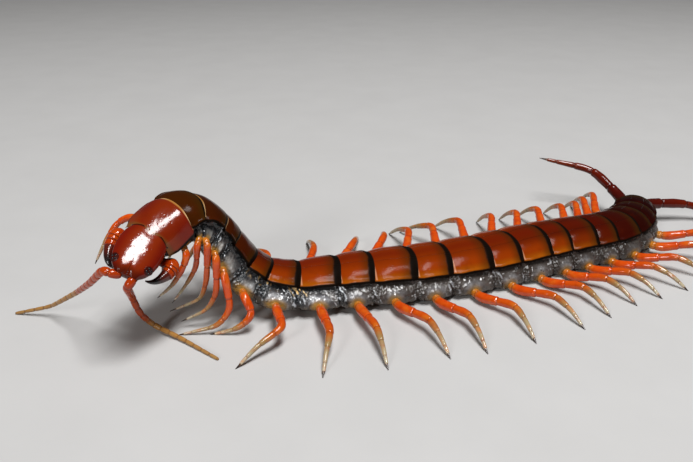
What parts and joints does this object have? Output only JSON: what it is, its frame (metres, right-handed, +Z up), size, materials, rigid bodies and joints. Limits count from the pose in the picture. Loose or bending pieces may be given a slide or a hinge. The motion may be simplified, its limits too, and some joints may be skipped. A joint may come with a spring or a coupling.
{
  "type": "centipede",
  "caption": "Large centipede at life size, walking with its neck reared and head bent down; a still model of banded back plates, jointed legs, feelers and fangs.",
  "frame": {"origin": "centre of the footprint box on the floor", "axes": "+Z up from the floor; +X towards the tail, along the longer side of the footprint, with the head at -X; the animal's left side faces -Y"},
  "size_m": [0.1521, 0.0749, 0.024],
  "materials": {
    "shell_red": "glossy deep red",
    "shell_orange": "glossy orange with a dark rear band on each back plate",
    "shell_maroon": "glossy dark maroon",
    "leg_orange": "glossy orange, paler towards the foot",
    "feeler_red": "satin red-orange, browner towards the tip",
    "eye_black": "glossy black"
  },
  "bodies": {
    "root": {"head": "shell_red", "jaw_base": "shell_red", "forcipule_left": "shell_red", "forcipule_right": "shell_red", "eye_left": "eye_black", "eye_right": "eye_black", "antenna_left": "feeler_red", "antenna_right": "feeler_red", "neck_shield": "shell_red", "neck_upper": "shell_red", "neck_lower": "shell_red", "trunk_front": "shell_orange", "trunk_fore_middle": "shell_orange", "trunk_hind_middle": "shell_orange", "trunk_rear": "shell_orange", "tail": "shell_maroon", "tail_shield": "shell_maroon", "leg_left_01": "leg_orange", "leg_left_02": "leg_orange", "leg_left_03": "leg_orange", "leg_left_04": "leg_orange", "leg_left_05": "leg_orange", "leg_left_06": "leg_orange", "leg_left_07": "leg_orange", "leg_left_08": "leg_orange", "leg_left_09": "leg_orange", "leg_left_10": "leg_orange", "leg_left_11": "leg_orange", "leg_left_12": "leg_orange", "leg_left_13": "leg_orange", "leg_left_14": "leg_orange", "leg_left_15": "leg_orange", "leg_left_16": "leg_orange", "leg_left_17": "leg_orange", "leg_left_18": "leg_orange", "leg_left_19": "leg_orange", "leg_left_20": "leg_orange", "leg_left_21": "shell_maroon", "leg_right_01": "leg_orange", "leg_right_02": "leg_orange", "leg_right_03": "leg_orange", "leg_right_04": "leg_orange", "leg_right_05": "leg_orange", "leg_right_06": "leg_orange", "leg_right_07": "leg_orange", "leg_right_08": "leg_orange", "leg_right_09": "leg_orange", "leg_right_10": "leg_orange", "leg_right_11": "leg_orange", "leg_right_12": "leg_orange", "leg_right_13": "leg_orange", "leg_right_14": "leg_orange", "leg_right_15": "leg_orange", "leg_right_16": "leg_orange", "leg_right_17": "leg_orange", "leg_right_18": "leg_orange", "leg_right_19": "leg_orange", "leg_right_20": "leg_orange", "leg_right_21": "shell_maroon"}
  },
  "joints": []
}
